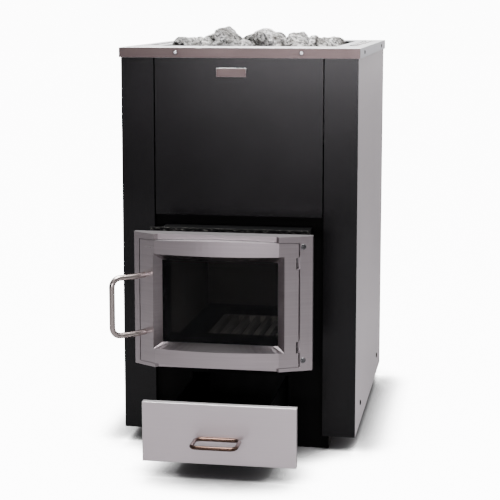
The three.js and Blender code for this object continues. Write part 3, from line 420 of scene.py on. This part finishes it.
# Screws that hold the collar, the side panels and the door frame: steel, with a pressed cross recess.
# Those on the collar's front are bright zinc, those on the frame dark zinc, the others black.
# A domed head is modelled once, with a radius of 1, and copied to face out of each sheet.
head_height = 0.5
head_dome = 0.3
recess_size = (1.1, 0.26, 0.5)
recess_turn = 0.4
collar_head = 0.0015
side_head = 0.0022
frame_facing = Vector((0.42, -0.9075, 0))
frame_across = 0.1402
frame_out = -0.33875
dark_zinc = brushed_metal(
    "Dark zinc", light=(0.22, 0.22, 0.23), dark=(0.08, 0.08, 0.083), streaks=(250, 250, 250),
    smooth=0.15, rough=0.3,
)
dress(zinc_steel, "collar_screw_front")
dress(dark_zinc, "frame_screw")
dress(firebox_steel, "collar_screw_left", "collar_screw_right", "side_screw")
bpy.ops.mesh.primitive_cylinder_add(
    vertices=40, radius=1, depth=head_height, location=(0, 0, head_height / 2)
)
screw_head = bpy.context.object
bpy.ops.object.mode_set(mode="EDIT")
bpy.ops.mesh.select_mode(type="FACE")
bpy.ops.mesh.select_all(action="DESELECT")
bpy.ops.object.mode_set(mode="OBJECT")
for face in screw_head.data.polygons:
    face.select = face.normal.z > 0.9
bpy.ops.object.mode_set(mode="EDIT")
bpy.ops.mesh.bevel(offset=head_dome, segments=5, affect="EDGES")
bpy.ops.object.mode_set(mode="OBJECT")
for turn_by in (recess_turn, recess_turn + math.pi / 2):
    bpy.ops.mesh.primitive_cube_add(size=1, location=(0, 0, head_height), rotation=(0, 0, turn_by))
    bit = bpy.context.object
    bit.scale = recess_size
    bpy.context.view_layer.objects.active = screw_head
    recess = screw_head.modifiers.new("Recess", "BOOLEAN")
    recess.object = bit
    recess.operation = "DIFFERENCE"
    bpy.ops.object.modifier_apply(modifier="Recess")
    bpy.data.objects.remove(bit)
for name in [name for name in nodes if "_screw_" in name]:
    place_low, place_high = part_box(name)
    seat = (place_low + place_high) / 2
    if name.startswith("frame_screw"):
        facing_way = frame_facing
        seat.x = frame_across
        seat.y = frame_out
    elif "_front_" in name:
        facing_way = Vector((0, -1, 0))
        seat.y = place_low.y + collar_head
    else:
        side = 1 if place_low.x > 0 else -1
        facing_way = Vector((side, 0, 0))
        outer = place_high.x if side > 0 else place_low.x
        seat.x = outer - side * (side_head if name.startswith("side_screw") else collar_head)
    bpy.ops.object.select_all(action="DESELECT")
    screw_head.select_set(True)
    bpy.context.view_layer.objects.active = screw_head
    bpy.ops.object.duplicate()
    screw = bpy.context.object
    screw.name = name.replace("_screw", "_screwhead")
    radius = (place_high.z - place_low.z) / 2
    screw.scale = (radius, radius, radius)
    screw.rotation_mode = "QUATERNION"
    screw.rotation_quaternion = facing_way.to_track_quat("Z", "Y")
    screw.location = seat
    bpy.ops.object.transform_apply(location=True, rotation=True, scale=True)
    bpy.ops.object.shade_smooth_by_angle(angle=math.radians(35))
    screw.data.materials.clear()
    screw.data.materials.append(nodes[name].material_slots[0].material)
    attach(screw, "heater")
    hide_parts(name)
bpy.ops.object.select_all(action="DESELECT")
screw_head.select_set(True)
bpy.ops.object.delete()

# Sauna stones: broken lumps of pale, crumbly rock with dark pits, laid loose in the container.
# Three patterns are balls broken along flat planes, then pitted and crumbled. The heap is made of
# copies, each with its own size, turn and place. Some are darker, and the hollows between them are painted
# dark: painted shade.
rock, tree, shader, link = new_finish("Sauna stone")
shader.inputs["Roughness"].default_value = 0.93
shader.inputs["Specular IOR Level"].default_value = 0.25
place = add_node(tree, "TexCoord")
patch = add_node(tree, "TexNoise", {"Scale": 45.0, "Detail": 8.0, "Roughness": 0.65})
crumb = add_node(tree, "TexNoise", {"Scale": 150.0, "Detail": 6.0, "Roughness": 0.7})
tone = add_node(tree, "ValToRGB")
dark_rock, pale_rock = tone.color_ramp.elements
dark_rock.position = 0.37
dark_rock.color = (0.09, 0.083, 0.076, 1)
pale_rock.position = 0.62
pale_rock.color = (0.8, 0.79, 0.775, 1)
grey_rock = tone.color_ramp.elements.new(0.46)
grey_rock.color = (0.33, 0.318, 0.304, 1)
pits = add_node(tree, "MapRange", {"From Min": 0.4, "From Max": 0.54, "To Min": 0.12})
single = add_node(tree, "NewGeometry")
darker = add_node(tree, "MapRange", {"From Min": 0.45, "From Max": 1.0, "To Min": 1.0, "To Max": 0.45})
# Painted shade: where the stones close each other in, their colour is darkened.
closed = add_node(tree, "AmbientOcclusion", {"Distance": 0.03}, samples=6)
painted_hollow_shade = add_node(tree, "MapRange", {"From Min": 0.25, "From Max": 0.85, "To Min": 0.12})
pitted = add_node(tree, "VectorMath", operation="SCALE")
varied = add_node(tree, "VectorMath", operation="SCALE")
hollows_painted_dark = add_node(tree, "VectorMath", operation="SCALE")
relief = add_node(tree, "Bump", {"Strength": 1.0, "Distance": 0.006})
link(place.outputs["Object"], patch.inputs["Vector"])
link(place.outputs["Object"], crumb.inputs["Vector"])
link(patch.outputs["Fac"], tone.inputs["Fac"])
link(crumb.outputs["Fac"], pits.inputs["Value"])
link(single.outputs["Random Per Island"], darker.inputs["Value"])
link(closed.outputs["AO"], painted_hollow_shade.inputs["Value"])
link(tone.outputs["Color"], pitted.inputs[0])
link(pits.outputs["Result"], pitted.inputs["Scale"])
link(pitted.outputs["Vector"], varied.inputs[0])
link(darker.outputs["Result"], varied.inputs["Scale"])
link(varied.outputs["Vector"], hollows_painted_dark.inputs[0])
link(painted_hollow_shade.outputs["Result"], hollows_painted_dark.inputs["Scale"])
link(hollows_painted_dark.outputs["Vector"], shader.inputs["Base Color"])
link(crumb.outputs["Fac"], relief.inputs["Height"])
link(relief.outputs["Normal"], shader.inputs["Normal"])

breaks = 11
turn_between_breaks = 2.4
least_break = 0.46
break_step = 0.07
lumps = bpy.data.textures.new("Stone lumps", "VORONOI")
lumps.noise_scale = 0.7
crumbs = bpy.data.textures.new("Stone crumbs", "CLOUDS")
crumbs.noise_scale = 0.22
crumbs.noise_depth = 4
patterns = []
for seed in (3, 11, 24):
    bpy.ops.mesh.primitive_ico_sphere_add(subdivisions=2, radius=1, location=(0, 0, 0))
    pattern = bpy.context.object
    bpy.ops.object.mode_set(mode="EDIT")
    bpy.ops.mesh.select_all(action="SELECT")
    bpy.ops.transform.vertex_random(offset=0.15, uniform=0.2, normal=0.5, seed=seed)
    for number in range(breaks):
        angle = seed + number * turn_between_breaks
        way = Vector((math.cos(angle), math.sin(angle), 1.1 * math.sin(angle * 1.7))).normalized()
        depth = least_break + break_step * (number % 4)
        bpy.ops.mesh.select_all(action="SELECT")
        bpy.ops.mesh.bisect(plane_co=way * depth, plane_no=way, use_fill=True, clear_outer=True)
    bpy.ops.mesh.select_all(action="SELECT")
    bpy.ops.mesh.quads_convert_to_tris()
    bpy.ops.object.mode_set(mode="OBJECT")
    remesh = pattern.modifiers.new("Even faces", "REMESH")
    remesh.mode = "VOXEL"
    remesh.voxel_size = 0.068
    for roughening, texture, strength in (("Lumps", lumps, 0.07), ("Crumbs", crumbs, 0.13)):
        displace = pattern.modifiers.new(roughening, "DISPLACE")
        displace.texture = texture
        displace.strength = strength
        displace.mid_level = 0.5
    for modifier in ("Even faces", "Lumps", "Crumbs"):
        bpy.ops.object.modifier_apply(modifier=modifier)
    bpy.ops.object.shade_flat()
    patterns.append(pattern)

# Stones of the heap, as they lie: the front row first, then the rows behind it,
# and last the large ones underneath. Each has its middle across, behind the container's front
# and up from the collar's top, then its half width, depth and height, in millimetres.
millimetre = 0.001
most_tilt = 0.35
turn_between_stones = 2.1
container_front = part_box("stone_container")[0].y
collar_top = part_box("top_collar")[1].z
heap_pieces = []
for number, (across, behind, up, wide, far, tall) in enumerate((
    (-136, 46, -4, 24, 38, 20), (-106, 40, -2, 30, 34, 21), (-44, 46, 0, 46, 40, 36),
    (-6, 40, -12, 24, 30, 25), (44, 48, -1, 46, 40, 33), (88, 46, -3, 36, 38, 28),
    (118, 42, -6, 20, 34, 26), (140, 44, -6, 20, 34, 24), (-80, 38, -6, 24, 32, 22),
    (-126, 116, -10, 34, 42, 24), (-60, 118, -2, 40, 42, 26), (28, 122, -2, 44, 44, 26),
    (88, 118, -3, 34, 42, 26), (134, 116, -10, 26, 42, 24), (-134, 196, -12, 26, 44, 24),
    (-78, 194, -2, 42, 44, 26), (10, 196, -2, 40, 42, 26), (74, 194, -3, 36, 44, 26),
    (130, 196, -11, 30, 44, 24), (-134, 272, -12, 26, 40, 23), (-84, 274, -4, 42, 42, 25),
    (0, 272, -4, 42, 42, 25), (68, 274, -5, 38, 42, 25), (128, 274, -12, 32, 42, 24),
    (-112, 328, -8, 46, 34, 24), (-22, 328, -8, 46, 34, 24), (60, 328, -8, 44, 34, 24),
    (126, 328, -12, 34, 34, 22), (-100, 72, -26, 60, 60, 26), (0, 72, -28, 60, 60, 26),
    (100, 72, -26, 60, 60, 26), (-80, 186, -26, 80, 76, 26), (80, 186, -26, 80, 76, 26),
    (-80, 290, -27, 80, 70, 26), (80, 290, -27, 80, 70, 26),
)):
    bpy.ops.object.select_all(action="DESELECT")
    pattern = patterns[number % len(patterns)]
    pattern.select_set(True)
    bpy.context.view_layer.objects.active = pattern
    bpy.ops.object.duplicate()
    stone = bpy.context.object
    tilt = (most_tilt * math.sin(number * 5.1), most_tilt * math.cos(number * 3.3))
    stone.rotation_euler = (*tilt, number * turn_between_stones)
    bpy.ops.object.transform_apply(location=True, rotation=True, scale=True)
    reach = [max(abs(vertex.co[axis]) for vertex in stone.data.vertices) for axis in range(3)]
    stone.scale = [half * millimetre / whole for half, whole in zip((wide, far, tall), reach)]
    stone.location = Vector((0, container_front, collar_top)) + Vector((across, behind, up)) * millimetre
    bpy.ops.object.transform_apply(location=True, rotation=True, scale=True)
    heap_pieces.append(stone)
bpy.ops.object.select_all(action="DESELECT")
for pattern in patterns:
    pattern.select_set(True)
bpy.ops.object.delete()
for stone in heap_pieces:
    stone.select_set(True)
bpy.context.view_layer.objects.active = heap_pieces[0]
bpy.ops.object.join()
heap = bpy.context.object
heap.name = "stone_heap"
heap.data.materials.clear()
heap.data.materials.append(rock)
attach(heap, "heater")
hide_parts("stone_bed", *[f"stone_{number}" for number in range(1, 9)])
bpy.ops.object.select_all(action="DESELECT")

# Studio floor: a wide sheet of pale paper, which glows plain white to the camera alone.
# The glow is dimmed where the heater closes the floor in: painted soft contact shadows.
white_seen = 12.0
paper, tree, shader, link = new_finish("Studio paper")
shader.inputs["Base Color"].default_value = (0.18, 0.177, 0.18, 1)
shader.inputs["Roughness"].default_value = 0.9
shader.inputs["Specular IOR Level"].default_value = 0.1
shader.inputs["Emission Color"].default_value = (1, 1, 1, 1)
# Painted contact shadows: the glow fades where the floor is closed in.
closed = add_node(tree, "AmbientOcclusion", {"Distance": 0.11}, samples=16)
open_part = add_node(tree, "MapRange", {"From Min": 0.25, "From Max": 0.89})
fade = add_node(tree, "Math", {1: 5.5}, operation="POWER")
seen = add_node(tree, "LightPath")
painted_shadow_glow = add_node(tree, "Math", operation="MULTIPLY")
glow = add_node(tree, "Math", {1: white_seen}, operation="MULTIPLY")
link(closed.outputs["AO"], open_part.inputs["Value"])
link(open_part.outputs["Result"], fade.inputs[0])
link(fade.outputs["Value"], painted_shadow_glow.inputs[0])
link(seen.outputs["Is Camera Ray"], painted_shadow_glow.inputs[1])
link(painted_shadow_glow.outputs["Value"], glow.inputs[0])
link(glow.outputs["Value"], shader.inputs["Emission Strength"])
bpy.ops.mesh.primitive_plane_add(size=40, location=(0, 0, 0))
floor = bpy.context.object
floor.name = "studio_floor"
floor.data.materials.append(paper)

# Studio walls: white behind and above the heater, grey at its sides, dimmer on the left,
# and dark in front, so that the black sheet stays black. The backdrop itself is seen as plain white.
world = bpy.data.worlds.new("Studio")
bpy.context.scene.world = world
world.use_nodes = True
tree = world.node_tree
walls = tree.nodes["Background"]
walls.inputs["Color"].default_value = (1, 1, 1, 1)
place = add_node(tree, "TexCoord")
split = add_node(tree, "SeparateXYZ")
depth = add_node(tree, "MapRange", {"From Min": -1.0})
shade = add_node(tree, "ValToRGB")
dark_wall = (0.08, 0.08, 0.082, 1)
front, back = shade.color_ramp.elements
front.color = dark_wall
back.color = (1.6, 1.6, 1.6, 1)
back.position = 0.8
sides = shade.color_ramp.elements.new(0.5)
sides.color = (0.6, 0.6, 0.6, 1)
near = shade.color_ramp.elements.new(0.3)
near.color = dark_wall
above = add_node(tree, "MapRange", {"From Min": 0.35, "To Max": 2.0})
total = add_node(tree, "Math")
leftward = add_node(tree, "MapRange", {"From Min": -0.9, "From Max": 0.45, "To Min": 0.18, "To Max": 0.85})
level = add_node(tree, "Math", operation="MULTIPLY")
seen = add_node(tree, "LightPath")
plain = add_node(tree, "Background", {"Color": (1, 1, 1, 1), "Strength": white_seen})
choose = add_node(tree, "MixShader")
link = tree.links.new
link(place.outputs["Generated"], split.inputs["Vector"])
link(split.outputs["Y"], depth.inputs["Value"])
link(depth.outputs["Result"], shade.inputs["Fac"])
link(split.outputs["Z"], above.inputs["Value"])
link(shade.outputs["Color"], total.inputs[0])
link(above.outputs["Result"], total.inputs[1])
link(split.outputs["X"], leftward.inputs["Value"])
link(total.outputs["Value"], level.inputs[0])
link(leftward.outputs["Result"], level.inputs[1])
link(level.outputs["Value"], walls.inputs["Strength"])
link(seen.outputs["Is Camera Ray"], choose.inputs["Fac"])
link(walls.outputs["Background"], choose.inputs[1])
link(plain.outputs["Background"], choose.inputs[2])
link(choose.outputs["Shader"], tree.nodes["World Output"].inputs["Surface"])

# Studio lights: a long, low strip behind the camera that sheens the upper panel, a broad soft light
# overhead for the stones and the upward edges, and a faint one low in the firebox for the grate.
def soft_light(place, shape, size, power, tilt=0):
    bpy.ops.object.light_add(type="AREA", location=place)
    lamp = bpy.context.object
    lamp.data.shape = shape
    lamp.data.size = size
    lamp.data.energy = power
    lamp.rotation_euler = (math.radians(tilt), 0, 0)
    return lamp


strip = soft_light((0.4, -3.4, 0.76), "RECTANGLE", size=2.2, power=42, tilt=90)
strip.data.size_y = 0.2
strip.data.color = (1.0, 0.95, 1.0)
soft_light((0, -0.6, 2.6), "DISK", size=1.6, power=220)
soft_light((0.05, -0.12, 0.26), "SQUARE", size=0.08, power=1.1, tilt=50)

# Camera: to the right of the front and just above the stones, as the photograph was taken.
# It tilts down a little, and a small shift brings the whole heater into the frame.
bpy.ops.object.camera_add(location=(0.451, -2.698, 0.814))
camera = bpy.context.object
camera.rotation_euler = (math.radians(82), 0, math.radians(9.68))
camera.data.sensor_width = 36
camera.data.lens = 103.1
camera.data.shift_y = -0.094
bpy.context.scene.camera = camera
